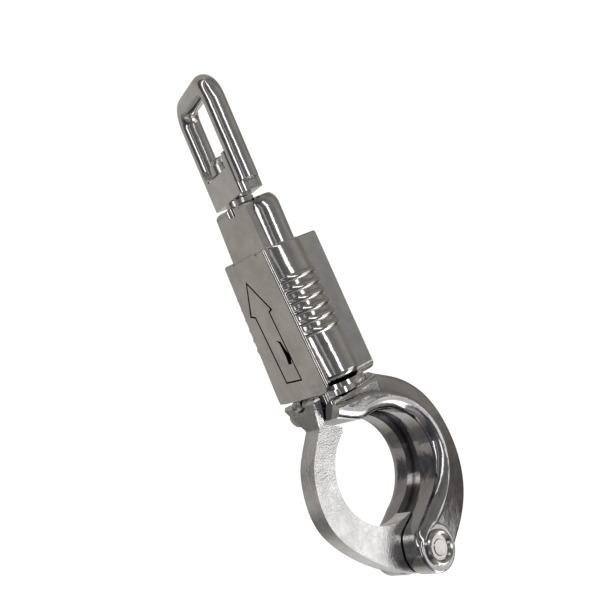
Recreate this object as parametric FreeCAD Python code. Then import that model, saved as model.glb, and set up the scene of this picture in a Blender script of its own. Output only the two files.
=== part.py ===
import FreeCAD, Part
import math
import os

V = FreeCAD.Vector

# Quick-release swivel snap ("panic snap"): swivel eye, hook body with fixed arm,
# spring-loaded release sleeve, hinged gate.
# Frame: +Z runs up the shank to the eye, +X from the gate to the fixed arm, Y across the hook.
# The origin is the centre of the eye's opening, on the swivel axis. Millimetres.

# ---------- driving dimensions ----------
Z_SLEEVE = -50.0          # lower edge of the sleeve at rest; other heights count from it

# swivel eye
EYE_TURN = 68.0           # rest angle of the eye's plane about the swivel axis, degrees
EYE_TOP = 60.5
EYE_BAR_D = 4.0
EYE_HALF_W = 8.9          # swivel axis to the middle of an eye leg
EYE_BASE_BOTTOM = 38.1
EYE_BASE_TOP = 43.4
EYE_BASE_T = 4.6
EYE_CORNER_R = 3.4        # bend radius at the middle of the bar
PIN_BORE_R = 1.76

# swivel pin
PIN_R = 1.70
PIN_HEAD_R = 2.7
PIN_HEAD_H = 3.0
PIN_FOOT = 29.5
SHOULDER_R = 2.7
SHOULDER_H = 0.95

# shank of the body
SHANK_TOP = 37.0
SHANK_X0 = -3.2           # flat side that the sleeve's arrow face slides over
NECK_X1_TOP = 3.4
NECK_X1_LOW = 4.1
NECK_HALF_TOP = 4.5
NECK_HALF_LOW = 5.0
GUIDE_TOP = 24.8          # top of the full-width guide inside the sleeve
GUIDE_X1 = 7.5
GUIDE_HALF = 5.0
RIB_X = 1.5               # half-round rib on the front and back of the shank
RIB_Y = 3.75
RIB_R = 3.0
SLIDE_GAP = 0.18

# sleeve
SLEEVE_L = 27.7
SLEEVE_X = 2.2            # middle of the sleeve
SLEEVE_HX_TOP = 6.95
SLEEVE_HX_LOW = 6.55
SLEEVE_HY_TOP = 6.15
SLEEVE_HY_LOW = 7.35
PAD_X = 0.2               # the grips stand nearer to the arrow's side
PAD_Y_TOP = 3.3
PAD_R_TOP = 5.0
PAD_Y_LOW = 6.2
PAD_R_LOW = 3.93
PAD_BOTTOM = 1.2
RIB_COUNT = 6
RIB_PITCH = 2.04
RIB_LOWEST = 10.9
RIB_TUBE_R = 0.78
RIB_PROUD = 0.4
ENGRAVE = 0.22
STAKE_MARK = [            # bent slash left by staking the lug, as (y, height)
    (0.7, 11.8), (-0.5, 11.3), (-0.9, 9.7), (-1.4, 8.3), (-0.9, 6.8), (0.0, 6.9),
    (-0.15, 8.3), (-0.05, 10.1), (0.0, 11.0),
]
TRAVEL = 9.0

# spring pocket in the shank and the sleeve's lug
POCKET_HALF = 2.05
POCKET_X1 = 0.55
POCKET_Z0 = 5.9
POCKET_Z1 = 24.0
LUG_Z0 = 6.7
LUG_Z1 = 8.9
LUG_HALF = 1.6
SPRING_X = -1.36
SPRING_R = 1.32
SPRING_WIRE = 0.52
SPRING_TURNS = 8.5

# hook bow
BOW_X = 4.7
BOW_Z = -17.8
BOW_A = 11.3
BOW_B = 10.5
ARM_HALF = 5.1            # half thickness of the arm's flank
RAIL_HALF = 7.0           # half thickness over the two round rails
RAIL_W = 2.9
CHANNEL_HALF = 2.25
CHANNEL_D = 1.7
BRIDGE_HALF = 6.1
RAIL_ROUND_IN = 1.9       # towards the opening
RAIL_ROUND_OUT = 0.9
FLANK_AT = 16.0           # distance from the bow's centre where the flank is ARM_HALF out
FLANK_SLOPE = 0.17

# gate and its rivet
GATE_HALF = 1.95
FLARE_HALF = 4.2          # half width of the gate's catch under the sleeve
NOTCH_R = 2.3
NOTCH_Z = 0.4
SLOT_HALF = 2.25
PIVOT_X = 6.05
PIVOT_Z = -35.0
BOSS_R = 4.6
BOSS_HALF = 6.6
KNUCKLE_R = 4.4
RIVET_R = 2.0
GATE_BORE_R = 2.05
RIVET_HEAD_R = 3.35
RIVET_HEAD_H = 0.75


# ---------- helpers ----------
def at(z):
    """Height above the sleeve's lower edge to the frame's Z."""
    return Z_SLEEVE + z


def box(x0, x1, y0, y1, z0, z1):
    return Part.makeBox(x1 - x0, y1 - y0, z1 - z0, V(x0, y0, at(z0)))


def rod_z(x, y, r, z0, z1):
    return Part.makeCylinder(r, z1 - z0, V(x, y, at(z0)), V(0, 0, 1))


def rod_y(x, z, r, y0, y1):
    return Part.makeCylinder(r, y1 - y0, V(x, y0, at(z)), V(0, 1, 0))


def ring_point(angle, grow=0.0):
    """Point on the bow's inner ellipse, or on one larger all round."""
    a = math.radians(angle)
    return (BOW_X + (BOW_A + grow) * math.cos(a), BOW_Z + (BOW_B + grow) * math.sin(a))


def ring_points(a0, a1, count, grow=0.0):
    step = (a1 - a0) / (count - 1)
    return [ring_point(a0 + step * i, grow) for i in range(count)]


def bow_core(half, grow=0.0):
    """Elliptical block that fills the bow's opening, or one larger all round."""
    ellipse = Part.Ellipse(V(BOW_X, 0, at(BOW_Z)), BOW_A + grow, BOW_B + grow)
    wire = Part.Wire(ellipse.toShape())
    wire.rotate(V(BOW_X, 0, at(BOW_Z)), V(1, 0, 0), 90)
    solid = Part.Face(wire).extrude(V(0, 2 * half, 0))
    solid.translate(V(0, -half, 0))
    return solid


def vec(p):
    return V(p[0], 0, at(p[1]))


def spline(points):
    curve = Part.BSplineCurve()
    curve.interpolate([vec(p) for p in points])
    return curve.toShape()


def outline(parts):
    """Closed wire in the XZ plane from runs of points; a run of 3 or more is a smooth curve."""
    edges = []
    for i, run in enumerate(parts):
        if len(run) > 2:
            edges.append(spline(run))
        elif len(run) == 2:
            edges.append(Part.makeLine(vec(run[0]), vec(run[1])))
        following = parts[(i + 1) % len(parts)]
        if math.dist(run[-1], following[0]) > 1e-4:
            edges.append(Part.makeLine(vec(run[-1]), vec(following[0])))
    return Part.Wire(Part.__sortEdges__(edges))


def plate(wire, half):
    """Flat plate from an XZ outline, symmetric about Y = 0."""
    face = Part.Face(wire)
    solid = face.extrude(V(0, 2 * half, 0))
    solid.translate(V(0, -half, 0))
    return solid


def polygon_plate(points, y0, y1):
    pts = [V(p[0], y0, at(p[1])) for p in points]
    face = Part.Face(Part.makePolygon(pts + [pts[0]]))
    return face.extrude(V(0, y1 - y0, 0))


def rectangle(x0, x1, half, z):
    pts = [V(x0, -half, at(z)), V(x1, -half, at(z)), V(x1, half, at(z)), V(x0, half, at(z))]
    return Part.makePolygon(pts + [pts[0]])


def taper(rect0, rect1):
    return Part.makeLoft([rect0, rect1], True, True)


def soften(solid, radius, test):
    """Round every edge whose middle passes the test."""
    edges = [e for e in solid.Edges if test(e.CenterOfMass, e)]
    return solid.makeFillet(radius, edges)


def is_vertical(edge):
    d = edge.Vertexes[-1].Point - edge.Vertexes[0].Point
    return abs(d.z) > 3 * math.hypot(d.x, d.y)


def write(shape, name):
    solid = shape
    if solid.ShapeType == "Compound" and len(solid.Solids) == 1:
        solid = solid.Solids[0]
    print(name, "solids", len(solid.Solids), "valid", solid.isValid(), "vol", round(solid.Volume, 1))
    solid.exportStep("parts/" + name + ".step")
    return solid


# ---------- swivel eye ----------
def make_eye():
    r = EYE_BAR_D / 2
    top = EYE_TOP - r
    w = EYE_HALF_W
    c = EYE_CORNER_R
    foot = EYE_BASE_BOTTOM + 2.0
    pts = [V(-w, 0, at(foot)), V(-w, 0, at(top - c)), V(-w + c, 0, at(top))]
    left = Part.makeLine(pts[0], pts[1])
    k = c * (1 - math.sqrt(0.5))
    bend_l = Part.Arc(pts[1], V(-w + k, 0, at(top - k)), pts[2]).toShape()
    bar = Part.makeLine(pts[2], V(w - c, 0, at(top)))
    bend_r = Part.Arc(V(w - c, 0, at(top)), V(w - k, 0, at(top - k)), V(w, 0, at(top - c))).toShape()
    right = Part.makeLine(V(w, 0, at(top - c)), V(w, 0, at(foot)))
    path = Part.Wire([left, bend_l, bar, bend_r, right])
    circle = Part.Wire(Part.makeCircle(r, pts[0], V(0, 0, 1)))
    loop = path.makePipeShell([circle], True, True)
    half_w = w + 0.35
    base = box(-half_w, half_w, -EYE_BASE_T / 2, EYE_BASE_T / 2, EYE_BASE_BOTTOM, EYE_BASE_TOP)
    base = soften(base, 1.2, lambda p, e: is_vertical(e))
    fillet_l = box(-half_w, -w + 3.4, -EYE_BASE_T / 2, EYE_BASE_T / 2, EYE_BASE_TOP - 0.2, EYE_BASE_TOP + 2.6)
    fillet_l = soften(fillet_l, 1.2, lambda p, e: is_vertical(e))
    fillet_r = fillet_l.mirror(V(0, 0, 0), V(1, 0, 0))
    scoop = Part.makeCylinder(2.8, 8, V(-w + 4.4, -4, at(EYE_BASE_TOP + 2.8)), V(0, 1, 0))
    scoop_r = scoop.mirror(V(0, 0, 0), V(1, 0, 0))
    eye = base.fuse([loop, fillet_l.cut(scoop), fillet_r.cut(scoop_r)])
    eye = eye.cut(rod_z(0, 0, PIN_BORE_R, EYE_BASE_BOTTOM - 1, EYE_BASE_TOP + 1))
    eye.rotate(V(0, 0, 0), V(0, 0, 1), EYE_TURN)
    return eye


# ---------- swivel pin: shoulder, shaft through the eye, domed head ----------
def make_pin():
    head0 = EYE_BASE_TOP + 0.2
    profile = [
        (0, PIN_FOOT), (PIN_R, PIN_FOOT), (PIN_R, SHANK_TOP), (SHOULDER_R, SHANK_TOP),
        (SHOULDER_R, SHANK_TOP + SHOULDER_H), (PIN_R, SHANK_TOP + SHOULDER_H),
        (PIN_R, head0), (PIN_HEAD_R, head0), (PIN_HEAD_R, head0 + 0.55 * PIN_HEAD_H),
        (PIN_HEAD_R * 0.78, head0 + 0.86 * PIN_HEAD_H), (PIN_HEAD_R * 0.4, head0 + PIN_HEAD_H),
        (0, head0 + PIN_HEAD_H),
    ]
    pts = [V(p[0], 0, at(p[1])) for p in profile]
    face = Part.Face(Part.makePolygon(pts + [pts[0]]))
    return face.revolve(V(0, 0, 0), V(0, 0, 1), 360)


# ---------- hook body: shank, bridge, fixed arm, fork ----------
def arm_outline():
    outer = [
        (9.2, -0.6), (11.2, -1.8), (14.0, -3.3), (17.7, -6.0), (20.4, -9.2), (22.4, -13.6),
        (23.3, -18.6), (23.2, -23.4), (21.6, -28.9), (18.6, -33.1), (14.9, -36.2),
        (10.6, -38.8), (PIVOT_X + 0.4, PIVOT_Z - BOSS_R),
    ]
    return outline([
        outer,
        [(PIVOT_X - BOSS_R * 0.94, PIVOT_Z - 1.6), (2.2, PIVOT_Z + 2.4)],
        [(4.6, -30.4), ring_point(-66, 0.6), ring_point(-66, -4)],
        [ring_point(104, -4), ring_point(104, 0.5)],
        [(-3.5, -4.6), (-3.5, -1.8)],
        [(7.0, -1.8), (7.6, -0.6)],
    ])


def flank_limit():
    """Both flanks of the arm fall away from the bow at a shallow angle."""
    reach = FLANK_AT + ARM_HALF / FLANK_SLOPE
    height = 7.0
    small = reach - height / FLANK_SLOPE
    centre = V(BOW_X, 0, at(BOW_Z))
    front = Part.makeCone(reach, small, height, centre, V(0, -1, 0))
    back = Part.makeCone(reach, small, height, centre, V(0, 1, 0))
    return front.fuse(back)


def rail_outline():
    """Round the bow from the bridge to the fork, then down the ear's edge to the boss."""
    inner = [(-3.6, -4.95), (-1.8, -5.85), (0.0, -6.75), (1.5, -7.3)]
    inner += ring_points(90, -66, 18, 0)
    inner += [(6.5, -28.9), (4.4, -29.8), (2.6, -31.1), (1.85, -32.8), (1.8, -34.6)]
    outer = [(3.9, -34.6), (4.1, -33.0), (5.5, -31.9), (8.4, -31.2)]
    outer += ring_points(-52, 60, 12, RAIL_W)
    outer += [(9.3, -4.8), (6.2, -3.6), (1.5, -2.9), (-3.6, -2.4)]
    return outline([inner, outer])


def make_rails():
    """The two round rails as one plate, with the edges of both faces rounded."""
    rails = plate(rail_outline(), RAIL_HALF)
    rails = soften(rails, RAIL_ROUND_IN, lambda p, e: abs(abs(p.y) - RAIL_HALF) < 0.1 and 40 < e.Length < 53)
    return soften(rails, RAIL_ROUND_OUT, lambda p, e: abs(abs(p.y) - RAIL_HALF) < 0.1 and e.Length > 54)


def make_shank():
    neck = taper(
        rectangle(SHANK_X0, NECK_X1_LOW, NECK_HALF_LOW, GUIDE_TOP - 1),
        rectangle(SHANK_X0 + 0.1, NECK_X1_TOP, NECK_HALF_TOP, SHANK_TOP),
    )
    neck = soften(neck, 1.0, lambda p, e: p.z > at(SHANK_TOP) - 0.1)
    guide = box(SHANK_X0, GUIDE_X1, -GUIDE_HALF, GUIDE_HALF, -1.5, GUIDE_TOP)
    guide = soften(guide, 0.5, lambda p, e: is_vertical(e) or p.z > at(GUIDE_TOP) - 0.1)
    ribs = []
    for side in (-1, 1):
        y = side * RIB_Y
        ribs.append(rod_z(RIB_X, y, RIB_R, -1.5, SHANK_TOP - RIB_R * 0.72))
        dome = Part.makeSphere(RIB_R, V(RIB_X, y, at(SHANK_TOP - RIB_R * 0.72)))
        ribs.append(dome.common(box(-20, 20, -20, 20, SHANK_TOP - RIB_R, SHANK_TOP)))
    return neck.fuse([guide] + ribs)


def make_body():
    arm = plate(arm_outline(), ARM_HALF + 0.6).common(flank_limit()).Solids[0]
    arm = soften(arm, 1.0, lambda p, e: e.Length > 45 and p.x > 14)
    core = bow_core(12, 0.3)
    sector = [(BOW_X, BOW_Z), ring_point(108, 8), (30, 5), (30, -45), ring_point(-100, 8)]
    channel = bow_core(CHANNEL_HALF, CHANNEL_D).common(polygon_plate(sector, -5, 5))
    bridge = polygon_plate([(-3.6, -1.7), (-3.6, -4.2), (9.0, -5.2), (9.6, -1.3)], -BRIDGE_HALF, BRIDGE_HALF)
    bridge = soften(bridge, 1.0, lambda p, e: abs(abs(p.y) - BRIDGE_HALF) < 0.1)
    collar = box(-3.75, GUIDE_X1, -4.9, 4.9, -2.0, -0.35)
    collar = soften(collar, 0.7, lambda p, e: is_vertical(e))
    boss = rod_y(PIVOT_X, PIVOT_Z, BOSS_R, -BOSS_HALF, BOSS_HALF)
    boss = soften(boss, 0.5, lambda p, e: abs(abs(p.y) - BOSS_HALF) < 0.1 and e.Length > 20)
    body = make_shank()
    for piece in (collar, bridge, arm):
        body = body.fuse(piece)
    body = body.cut(core).fuse(make_rails()).fuse(boss)
    cuts = [channel]
    # slot of the fork, open towards the gate
    cuts.append(rod_y(PIVOT_X, PIVOT_Z, KNUCKLE_R + 0.4, -SLOT_HALF, SLOT_HALF))
    slot = [(-3, -26.5), (7.9, -26.9), (9.4, -29.6), (10.6, -33.4), (7.6, -41), (-3, -41)]
    cuts.append(polygon_plate(slot, -SLOT_HALF, SLOT_HALF))
    cuts.append(rod_y(PIVOT_X, PIVOT_Z, RIVET_R, -10, 10))
    # flat seats for the rivet's two ends
    cuts.append(rod_y(PIVOT_X, PIVOT_Z, RIVET_HEAD_R + 0.45, -10, -BOSS_HALF))
    cuts.append(rod_y(PIVOT_X, PIVOT_Z, RIVET_HEAD_R + 0.45, BOSS_HALF, 10))
    # recess that takes the gate's tongue behind the sleeve
    recess = [(-9, 4.4), (-0.45, 4.4), (-0.45, -0.85), (-3.3, -3.0), (-3.75, -3.9), (-9, -6.0)]
    cuts.append(polygon_plate(recess, -SLOT_HALF, SLOT_HALF))
    # spring pocket, open to the flat side
    cuts.append(box(-6, POCKET_X1, -POCKET_HALF, POCKET_HALF, POCKET_Z0, POCKET_Z1))
    # pin hole and the small window that shows the pin
    cuts.append(rod_z(0, 0, PIN_R, PIN_FOOT, SHANK_TOP + 5))
    cuts.append(rod_z(SHANK_X0 - 0.2, 0, 1.15, SHANK_TOP - 1.7, SHANK_TOP + 2))
    for cut in cuts:
        body = body.cut(cut)
    return body


# ---------- release sleeve ----------
def make_sleeve():
    x = SLEEVE_X
    shell = taper(
        rectangle(x - SLEEVE_HX_LOW, x + SLEEVE_HX_LOW, SLEEVE_HY_LOW, 0),
        rectangle(x - SLEEVE_HX_TOP, x + SLEEVE_HX_TOP, SLEEVE_HY_TOP, SLEEVE_L),
    )
    shell = soften(shell, 0.55, lambda p, e: is_vertical(e))
    shell = soften(shell, 0.45, lambda p, e: p.z > at(SLEEVE_L) - 0.1)
    lower = Part.makeBox(60, 2 * 5.4, 8, V(-30, -5.4, at(-4)))
    trim = lower.fuse(box(-30, 30, -20, 20, 2.1, 40))
    corner = Part.makeCylinder(2.1, 60, V(-30, 5.25, at(2.1)), V(1, 0, 0))
    trim = trim.fuse([corner, corner.mirror(V(0, 0, 0), V(0, 1, 0))])
    shell = shell.common(trim)
    face = shell
    pads = []
    for side in (-1, 1):
        low = Part.Wire(Part.makeCircle(PAD_R_LOW, V(PAD_X, side * PAD_Y_LOW, at(PAD_BOTTOM)), V(0, 0, 1)))
        top = Part.Wire(Part.makeCircle(PAD_R_TOP, V(PAD_X, side * PAD_Y_TOP, at(SLEEVE_L)), V(0, 0, 1)))
        pad = Part.makeLoft([low, top], True, True)
        pad = pad.makeFillet(0.5, [e for e in pad.Edges if abs(e.CenterOfMass.z - at(SLEEVE_L)) < 0.1])
        pad = pad.makeFillet(1.3, [e for e in pad.Edges if abs(e.CenterOfMass.z - at(PAD_BOTTOM)) < 0.1])
        pads.append(pad)
        for i in range(RIB_COUNT):
            z = RIB_LOWEST + i * RIB_PITCH
            t = (z - PAD_BOTTOM) / (SLEEVE_L - PAD_BOTTOM)
            r = PAD_R_LOW + (PAD_R_TOP - PAD_R_LOW) * t
            y = side * (PAD_Y_LOW + (PAD_Y_TOP - PAD_Y_LOW) * t)
            rib = Part.makeTorus(r + RIB_PROUD - RIB_TUBE_R, RIB_TUBE_R, V(PAD_X, y, at(z)), V(0, 0, 1))
            # the ribs stop just round the corner, on the arrow's side
            near = SLEEVE_HY_LOW + (SLEEVE_HY_TOP - SLEEVE_HY_LOW) * z / SLEEVE_L - 0.45
            outer = box(-10, 14, near, 14, z - 2, z + 2) if side > 0 else box(-10, 14, -14, -near, z - 2, z + 2)
            pads.append(rib.common(outer))
        pads.append(rod_z(PAD_X, side * PAD_Y_LOW, PAD_R_LOW + 0.05, 0, 0.9))
    sleeve = shell
    for pad in pads:
        sleeve = sleeve.fuse(pad)
    bore = box(SHANK_X0 - SLIDE_GAP, GUIDE_X1 + SLIDE_GAP, -GUIDE_HALF - SLIDE_GAP, GUIDE_HALF + SLIDE_GAP, -1, 30)
    bore = soften(bore, 0.3, lambda p, e: is_vertical(e))
    for side in (-1, 1):
        bore = bore.fuse(rod_z(RIB_X, side * RIB_Y, RIB_R + SLIDE_GAP, -1, 30))
    sleeve = sleeve.cut(bore)
    # the bottom of the bore clears the round tops of the rails
    lug = box(SHANK_X0 - SLIDE_GAP - 0.5, 0.2, -LUG_HALF, LUG_HALF, LUG_Z0, LUG_Z1)
    sleeve = sleeve.fuse(lug)
    return sleeve.cut(arrow_groove(face))


def arrow_points(inset):
    """Outline of the arrow on the flat side, as (y, z) pairs."""
    k = inset
    return [
        (1.75, 23.7 - 2.1 * k), (4.65 - 1.6 * k, 17.3 + 0.6 * k), (3.45 - k, 16.85 + 0.6 * k),
        (2.75 - k, 3.6 + k), (-1.75 + k, 3.4 + k), (-1.05 + k, 16.9 + 0.6 * k),
        (-2.0 + 1.6 * k, 17.25 + 0.6 * k),
    ]


def arrow_groove(face):
    """Thin engraved line in the shape of an arrow that points to the eye, and the stake mark."""
    prisms = []
    for inset in (0.0, 0.32):
        pts = [V(-12, p[0], at(p[1])) for p in arrow_points(inset)]
        prisms.append(Part.Face(Part.makePolygon(pts + [pts[0]])).extrude(V(12, 0, 0)))
    line = prisms[0].cut(prisms[1])
    stake = [V(-12, p[0], at(p[1])) for p in STAKE_MARK]
    line = line.fuse(Part.Face(Part.makePolygon(stake + [stake[0]])).extrude(V(12, 0, 0)))
    inner = face.copy()
    inner.translate(V(ENGRAVE, 0, 0))
    return line.common(face.cut(inner))


# ---------- return spring ----------
def make_spring():
    z0 = LUG_Z1 + 0.05 + SPRING_WIRE / 2
    z1 = POCKET_Z1 - 0.05 - SPRING_WIRE / 2
    helix = Part.makeHelix((z1 - z0) / SPRING_TURNS, z1 - z0, SPRING_R)
    start = helix.Edges[0].valueAt(helix.Edges[0].FirstParameter)
    tangent = helix.Edges[0].tangentAt(helix.Edges[0].FirstParameter)
    circle = Part.Wire(Part.makeCircle(SPRING_WIRE / 2, start, tangent))
    coil = Part.Wire(helix).makePipeShell([circle], True, True)
    coil.translate(V(SPRING_X, 0, at(z0)))
    return coil


# ---------- gate ----------
def make_gate():
    outer = [
        (-5.2, -5.6), (-6.5, -7.0), (-7.9, -8.5), (-10.1, -11.4), (-11.4, -14.8), (-12.0, -18.6),
        (-11.6, -22.4), (-9.7, -26.4), (-6.8, -30.2), (-3.2, -33.8), (0.9, -36.9),
        (PIVOT_X - 1.2, PIVOT_Z - 4.25),
    ]
    blade = plate(outline([
        outer,
        [(PIVOT_X + 4.2, PIVOT_Z + 1.0), (8.5, -29.6)],
        [ring_point(-77), ring_point(-77, -4)],
        [ring_point(124, -4), ring_point(124)],
        [(-0.55, -8.5), (-0.15, -7.45)],
        [(-2.0, -6.45), (-3.95, -5.45)],
        [(-3.95, -5.0), (-5.0, -5.0)],
    ]), GATE_HALF).cut(bow_core(10))
    knuckle = rod_y(PIVOT_X, PIVOT_Z, KNUCKLE_R, -GATE_HALF, GATE_HALF)
    head = [
        (-5.15, -6.4), (-6.0, -2.6), (-6.25, -0.9), (-5.8, -0.35), (-4.6, -0.35), (-4.1, -2.7),
        (-3.95, -3.6), (-3.95, -6.9), (-4.4, -7.4),
    ]
    head_plate = polygon_plate(head, -FLARE_HALF, FLARE_HALF)
    w = FLARE_HALF
    g = GATE_HALF
    flare = [(-w, 0), (w, 0), (w, -0.8), (g, -5.4), (g, -9), (-g, -9), (-g, -5.4), (-w, -0.8)]
    pts = [V(-12, p[0], at(p[1])) for p in flare]
    flare_prism = Part.Face(Part.makePolygon(pts + [pts[0]])).extrude(V(12, 0, 0))
    notch = Part.makeCylinder(NOTCH_R, 12, V(-12, 0, at(NOTCH_Z)), V(1, 0, 0))
    head_plate = head_plate.common(flare_prism).cut(notch)
    tongue = [
        (-4.2, -2.0), (-3.6, -0.95), (-3.1, -0.2), (-2.9, 0.0), (-0.9, 0.8), (-0.75, -0.6),
        (-3.4, -2.6), (-3.95, -3.7), (-4.2, -3.7),
    ]
    tongue_plate = polygon_plate(tongue, -GATE_HALF, GATE_HALF)
    gate = blade.fuse([knuckle, head_plate, tongue_plate])
    return gate.cut(rod_y(PIVOT_X, PIVOT_Z, GATE_BORE_R, -10, 10))


# ---------- gate rivet: rolled hollow head in front, domed head behind ----------
def make_rivet():
    f = BOSS_HALF
    h = RIVET_HEAD_H
    r = RIVET_HEAD_R
    profile = [
        (0, -f - 0.28), (1.4, -f - 0.28), (1.55, -f - 0.1), (2.3, -f - 0.1), (2.55, -f - h * 0.75),
        (2.85, -f - h), (3.1, -f - h * 0.9), (r, -f - h * 0.5), (r, -f), (RIVET_R, -f),
        (RIVET_R, f), (r, f), (r * 0.92, f + h * 0.55), (r * 0.6, f + h * 0.93), (0, f + h),
    ]
    pts = [V(PIVOT_X + p[0], p[1], at(PIVOT_Z)) for p in profile]
    face = Part.Face(Part.makePolygon(pts + [pts[0]]))
    return face.revolve(V(PIVOT_X, 0, at(PIVOT_Z)), V(0, 1, 0), 360)


os.makedirs("parts", exist_ok=True)
write(make_eye(), "swivel_eye")
write(make_pin(), "swivel_pin")
write(make_body(), "hook_body")
write(make_sleeve(), "release_sleeve")
write(make_spring(), "return_spring")
write(make_gate(), "gate")
write(make_rivet(), "gate_rivet")
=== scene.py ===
import math

import bpy
from mathutils import Matrix, Vector


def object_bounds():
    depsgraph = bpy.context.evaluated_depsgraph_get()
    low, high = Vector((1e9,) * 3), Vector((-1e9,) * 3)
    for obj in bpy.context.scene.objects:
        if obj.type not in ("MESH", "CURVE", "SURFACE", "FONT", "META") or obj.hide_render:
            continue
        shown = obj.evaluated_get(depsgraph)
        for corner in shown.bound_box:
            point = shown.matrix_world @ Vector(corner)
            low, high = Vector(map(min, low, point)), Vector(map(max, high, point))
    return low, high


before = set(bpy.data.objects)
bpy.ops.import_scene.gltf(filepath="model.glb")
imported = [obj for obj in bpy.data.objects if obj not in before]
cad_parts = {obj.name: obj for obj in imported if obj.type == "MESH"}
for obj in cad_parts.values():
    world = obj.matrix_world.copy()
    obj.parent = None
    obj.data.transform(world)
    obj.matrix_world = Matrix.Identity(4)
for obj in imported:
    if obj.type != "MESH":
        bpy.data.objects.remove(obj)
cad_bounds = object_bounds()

# ---------------------------------------------------------------- camera
# The snap hangs from its eye; the camera looks almost level at its gate side, and is rolled,
# so that the shank leans from the upper left to the lower right.
VIEW_AZIMUTH = math.radians(42.09)
VIEW_ELEVATION = math.radians(1.13)
VIEW_ROLL = math.radians(23.0)
VIEW_DISTANCE = 0.18066
VIEW_TARGET = Vector((0.00413, -0.00012, -0.03327))
LENS = 58.2
SENSOR = 36.0
CLIP_NEAR = 0.005
CLIP_FAR = 50.0


def add_camera():
    az, el = VIEW_AZIMUTH, VIEW_ELEVATION
    look = Vector((math.sin(az) * math.cos(el), math.cos(az) * math.cos(el), -math.sin(el)))
    side = Vector((math.cos(az), -math.sin(az), 0.0))
    up = side.cross(look)
    c, s = math.cos(VIEW_ROLL), math.sin(VIEW_ROLL)
    right_r = side * c - up * s
    up_r = side * s + up * c
    data = bpy.data.cameras.new("camera")
    data.lens = LENS
    data.sensor_width = SENSOR
    data.clip_start = CLIP_NEAR
    data.clip_end = CLIP_FAR
    camera = bpy.data.objects.new("camera", data)
    bpy.context.scene.collection.objects.link(camera)
    place = VIEW_TARGET - look * VIEW_DISTANCE
    axes = Matrix((right_r, up_r, -look)).transposed().to_4x4()
    camera.matrix_world = Matrix.Translation(place) @ axes
    bpy.context.scene.camera = camera


# ---------------------------------------------------------------- node helpers
class Nodes:
    """Short hand for building one node tree. A value may be a number or another node's output."""

    def __init__(self, tree):
        self.tree = tree
        tree.nodes.clear()

    def add(self, kind, **values):
        node = self.tree.nodes.new(kind)
        for key, value in values.items():
            setattr(node, key, value)
        return node

    def join(self, out_socket, in_socket):
        self.tree.links.new(out_socket, in_socket)

    def math(self, operation, *values):
        node = self.add("ShaderNodeMath", operation=operation)
        for socket, value in zip(node.inputs, values):
            if isinstance(value, (int, float)):
                socket.default_value = value
            else:
                self.join(value, socket)
        return node.outputs[0]

    def split(self, vector):
        node = self.add("ShaderNodeSeparateXYZ")
        self.join(vector, node.inputs[0])
        return node.outputs

    def ramp(self, factor, stops):
        """Colours along a factor; a plain number is a grey."""
        node = self.add("ShaderNodeValToRGB")
        elements = node.color_ramp.elements
        while len(elements) < len(stops):
            elements.new(0.5)
        for element, (place, colour) in zip(elements, stops):
            element.position = place
            if isinstance(colour, (int, float)):
                colour = (colour, colour, colour)
            element.color = (*colour, 1.0)
        self.join(factor, node.inputs["Fac"])
        return node.outputs["Color"]

    def mix(self, blend, factor, a, b):
        node = self.add("ShaderNodeMix", data_type="RGBA", blend_type=blend)
        if isinstance(factor, (int, float)):
            node.inputs["Factor"].default_value = factor
        else:
            self.join(factor, node.inputs["Factor"])
        self.join(a, node.inputs["A"])
        self.join(b, node.inputs["B"])
        return node.outputs["Result"]

    def noise(self, scale, detail, roughness, vector):
        node = self.add("ShaderNodeTexNoise")
        node.inputs["Scale"].default_value = scale
        node.inputs["Detail"].default_value = detail
        node.inputs["Roughness"].default_value = roughness
        self.join(vector, node.inputs["Vector"])
        return node.outputs["Fac"]

    def bump(self, height, strength, distance):
        node = self.add("ShaderNodeBump")
        node.inputs["Strength"].default_value = strength
        node.inputs["Distance"].default_value = distance
        self.join(height, node.inputs["Height"])
        return node

    def output(self, kind, shader):
        self.join(shader.outputs[0], self.add(kind).inputs["Surface"])


# ---------------------------------------------------------------- world: a soft studio
STRIP_LEAN = 0.095            # how far the strip lights lean, in turns from the level to straight up
BACKDROP_STRENGTH = 1.05      # the pale background that the camera sees


def deg(azimuth):
    """Place on a ramp of an azimuth in degrees: 0 is towards the camera, positive to its right."""
    return 0.5 + azimuth / 360.0


def up(elevation):
    """Place on a ramp of an elevation in degrees."""
    return 0.5 + 0.5 * math.sin(math.radians(elevation))


# The levels were listed after a measurement of the photographed plate's brightness by the direction that it
# reflects, and tuned against renders.
UPPER_STUDIO = [
    (deg(-180), (0.45, 0.44, 0.43)),
    (deg(-114), (0.42, 0.405, 0.385)),
    (deg(-90), (0.40, 0.385, 0.365)),
    (deg(-86), (0.07, 0.07, 0.08)),
    (deg(-62), (0.08, 0.08, 0.09)),
    (deg(-51), 0.16),
    (deg(-47), 2.8),
    (deg(-41), 2.8),
    (deg(-36), 0.16),
    (deg(-22), (0.12, 0.12, 0.13)),
    (deg(-15), 0.60),
    (deg(-8), (0.12, 0.12, 0.13)),
    (deg(12), (0.14, 0.14, 0.15)),
    (deg(22), 0.16),
    (deg(26), 2.9),
    (deg(33), 2.9),
    (deg(38), 0.24),
    (deg(60), 0.20),
    (deg(78), 0.26),
    (deg(90), 0.30),
    (deg(104), (0.34, 0.325, 0.30)),
    (deg(122), (0.24, 0.23, 0.21)),
    (deg(150), (0.22, 0.21, 0.20)),
    (deg(180), (0.45, 0.44, 0.43)),
]
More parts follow.
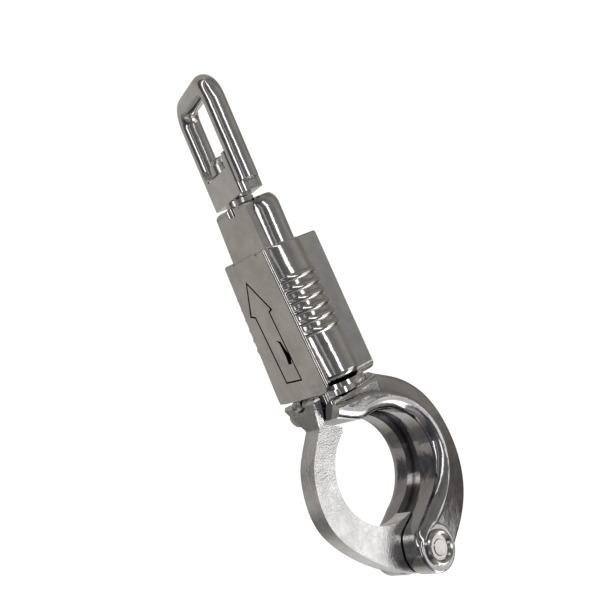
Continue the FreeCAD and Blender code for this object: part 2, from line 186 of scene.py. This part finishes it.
LOWER_STUDIO = [
    (deg(-180), 0.95),
    (deg(-150), 0.42),
    (deg(-120), (0.33, 0.32, 0.30)),
    (deg(-96), (0.27, 0.26, 0.25)),
    (deg(-88), (0.11, 0.11, 0.12)),
    (deg(-50), (0.09, 0.09, 0.105)),
    (deg(-8), (0.12, 0.12, 0.13)),
    (deg(16), (0.14, 0.14, 0.15)),
    (deg(30), (0.26, 0.26, 0.27)),
    (deg(44), (0.16, 0.16, 0.16)),
    (deg(57), 0.20),
    (deg(63), 1.55),
    (deg(97), 1.55),
    (deg(104), (0.22, 0.21, 0.20)),
    (deg(140), (0.20, 0.19, 0.18)),
    (deg(180), 0.95),
]
LOWER_TO_UPPER = [(up(-9.3), 0.0), (up(-8.3), 1.0)]
LEVEL_BY_HEIGHT = [
    (0.0, 2.8), (up(-50), 2.2), (up(-34), 0.6), (up(-19), 0.60), (up(-11), 1.0),
    (up(24), 1.0), (up(45), 0.8), (1.0, 0.9),
]


def add_world():
    world = bpy.data.worlds.new("studio")
    bpy.context.scene.world = world
    world.use_nodes = True
    n = Nodes(world.node_tree)
    front = math.atan2(-math.cos(VIEW_AZIMUTH), -math.sin(VIEW_AZIMUTH))
    turn = n.add("ShaderNodeMapping", vector_type="POINT")
    turn.inputs["Rotation"].default_value = (0.0, 0.0, -front)
    n.join(n.add("ShaderNodeTexCoord").outputs["Generated"], turn.inputs["Vector"])
    parts = n.split(turn.outputs[0])
    angle = n.math("ARCTAN2", parts["Y"], parts["X"])
    turned = n.math("MULTIPLY_ADD", angle, 1.0 / (2.0 * math.pi), 0.5)
    leaning = n.math("ADD", turned, n.math("MULTIPLY", parts["Z"], STRIP_LEAN))
    height = n.math("MULTIPLY_ADD", parts["Z"], 0.5, 0.5)
    around = n.mix("MIX", n.ramp(height, LOWER_TO_UPPER), n.ramp(turned, LOWER_STUDIO),
                   n.ramp(leaning, UPPER_STUDIO))
    studio = n.add("ShaderNodeBackground")
    n.join(n.mix("MULTIPLY", 1.0, around, n.ramp(height, LEVEL_BY_HEIGHT)), studio.inputs["Color"])
    studio.inputs["Strength"].default_value = 1.0
    pale = n.add("ShaderNodeBackground")
    pale.inputs["Color"].default_value = (1.0, 1.0, 1.0, 1.0)
    pale.inputs["Strength"].default_value = BACKDROP_STRENGTH
    choose = n.add("ShaderNodeMixShader")
    n.join(n.add("ShaderNodeLightPath").outputs["Is Camera Ray"], choose.inputs["Fac"])
    n.join(studio.outputs[0], choose.inputs[1])
    n.join(pale.outputs[0], choose.inputs[2])
    n.output("ShaderNodeOutputWorld", choose)


# ---------------------------------------------------------------- materials
NICKEL = (0.70, 0.68, 0.65)
# painted light: a lighter copy of the nickel, for the more brightly lit gate
GATE_NICKEL_LIT = (0.84, 0.83, 0.82)
SPRING_STEEL = (0.4, 0.4, 0.41)
CLOUD_DARK = 0.84             # the darkest clouds in the plate, as a share of its tint
CORNER_SHADE_REACH = 0.0016          # how far from a corner the painted shade reaches, m
# painted shade: the plate darkens to this grey in its corners
CORNER_SHADE_RAMP = [(0.30, (0.16, 0.15, 0.15)), (0.80, 1.0)]
WAVE_DEPTH = 0.0012           # m
GRAIN_DEPTH = 0.0004          # m


def plated(name, tint, rough, wave, grain, seed, grain_scale=2600.0, bow_painted_shade=1.0):
    """Polished plate over a slightly wavy casting, with painted shade darkening its corners. Where the bow's
    factor is under 1, the plate on the bow is painted darker than on the shank, as painted shade."""
    material = bpy.data.materials.new(name)
    material.use_nodes = True
    n = Nodes(material.node_tree)
    shader = n.add("ShaderNodeBsdfPrincipled")
    coord = n.add("ShaderNodeTexCoord").outputs["Object"]
    moved = n.add("ShaderNodeMapping")
    moved.inputs["Location"].default_value = (seed, seed * 0.7, seed * 1.3)
    n.join(coord, moved.inputs["Vector"])
    place = moved.outputs[0]
    # faint clouds in the plate, and painted shade (ambient occlusion) where two faces meet
    dark = tuple(c * CLOUD_DARK for c in tint)
    colour = n.ramp(n.noise(260.0, 4.0, 0.6, place), [(0.35, dark), (0.62, tint)])
    corner = n.add("ShaderNodeAmbientOcclusion", samples=6, only_local=True)
    corner.inputs["Distance"].default_value = CORNER_SHADE_REACH
    base = n.mix("MULTIPLY", 1.0, colour, n.ramp(corner.outputs["AO"], CORNER_SHADE_RAMP))
    if bow_painted_shade < 1.0:
        # painted shade on the bow, from 54.5 to 51.5 mm below the origin, in tenths of a metre above -100 mm
        along = n.math("MULTIPLY_ADD", n.split(coord)["Z"], 10.0, 1.0)
        shade = n.ramp(along, [(0.455, (bow_painted_shade, bow_painted_shade, bow_painted_shade * 1.04)), (0.485, 1.0)])
        base = n.mix("MULTIPLY", 1.0, base, shade)
    n.join(base, shader.inputs["Base Color"])
    shader.inputs["Metallic"].default_value = 1.0
    # rubbed patches, then the casting's waves with fine scuffs over them
    smear = n.noise(700.0, 3.0, 0.6, place)
    n.join(n.ramp(smear, [(0.3, rough * 0.7), (0.75, rough * 1.7)]), shader.inputs["Roughness"])
    waves = n.bump(n.noise(330.0, 2.0, 0.45, place), wave, WAVE_DEPTH)
    scuffs = n.bump(n.noise(grain_scale, 2.0, 0.5, place), grain, GRAIN_DEPTH)
    n.join(waves.outputs[0], scuffs.inputs["Normal"])
    n.join(scuffs.outputs[0], shader.inputs["Normal"])
    n.output("ShaderNodeOutputMaterial", shader)
    return material


def dress(node, material):
    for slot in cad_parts[node].material_slots:
        slot.material = material


def dress_pieces():
    # the body's bow is painted darker than its shank, as painted shade
    dress("hook_body", plated("body_plate", NICKEL, rough=0.10, wave=0.07, grain=0.02, seed=0.0,
                              bow_painted_shade=0.72))
    dress("release_sleeve", plated("sleeve_plate", NICKEL, rough=0.09, wave=0.06, grain=0.02, seed=0.11))
    dress("swivel_eye", plated("eye_plate", NICKEL, rough=0.11, wave=0.07, grain=0.02, seed=0.23))
    dress("gate", plated("gate_plate", GATE_NICKEL_LIT, rough=0.15, wave=0.05, grain=0.15, seed=0.37,
                         grain_scale=3800.0))
    dress("gate_rivet", plated("rivet_plate", NICKEL, rough=0.16, wave=0.06, grain=0.03, seed=0.41))
    dress("swivel_pin", plated("pin_steel", NICKEL, rough=0.20, wave=0.05, grain=0.03, seed=0.53))
    dress("return_spring", plated("spring_steel", SPRING_STEEL, rough=0.3, wave=0.05, grain=0.03, seed=0.61))


# ---------------------------------------------------------------- stage
FLOOR_GAP = 0.012             # the floor lies this far below the lowest point, m
FLOOR_HALF = 1.5
FLOOR_GREY = 0.9
FLOOR_GLOW = 0.75             # lifts the floor to the pale background, so that no horizon shows


def add_floor():
    low = cad_bounds[0][2] - FLOOR_GAP
    half = FLOOR_HALF
    corners = [(-half, -half, low), (half, -half, low), (half, half, low), (-half, half, low)]
    mesh = bpy.data.meshes.new("floor")
    mesh.from_pydata(corners, [], [(0, 1, 2, 3)])
    floor = bpy.data.objects.new("floor", mesh)
    bpy.context.scene.collection.objects.link(floor)
    material = bpy.data.materials.new("pale_floor")
    material.use_nodes = True
    n = Nodes(material.node_tree)
    shader = n.add("ShaderNodeBsdfPrincipled")
    shader.inputs["Base Color"].default_value = (FLOOR_GREY, FLOOR_GREY, FLOOR_GREY, 1.0)
    shader.inputs["Roughness"].default_value = 0.8
    shader.inputs["Emission Color"].default_value = (1.0, 1.0, 1.0, 1.0)
    shader.inputs["Emission Strength"].default_value = FLOOR_GLOW
    n.output("ShaderNodeOutputMaterial", shader)
    mesh.materials.append(material)
    floor.visible_glossy = False


add_camera()
add_world()
dress_pieces()
add_floor()

bpy.context.scene.view_settings.view_transform = "Standard"
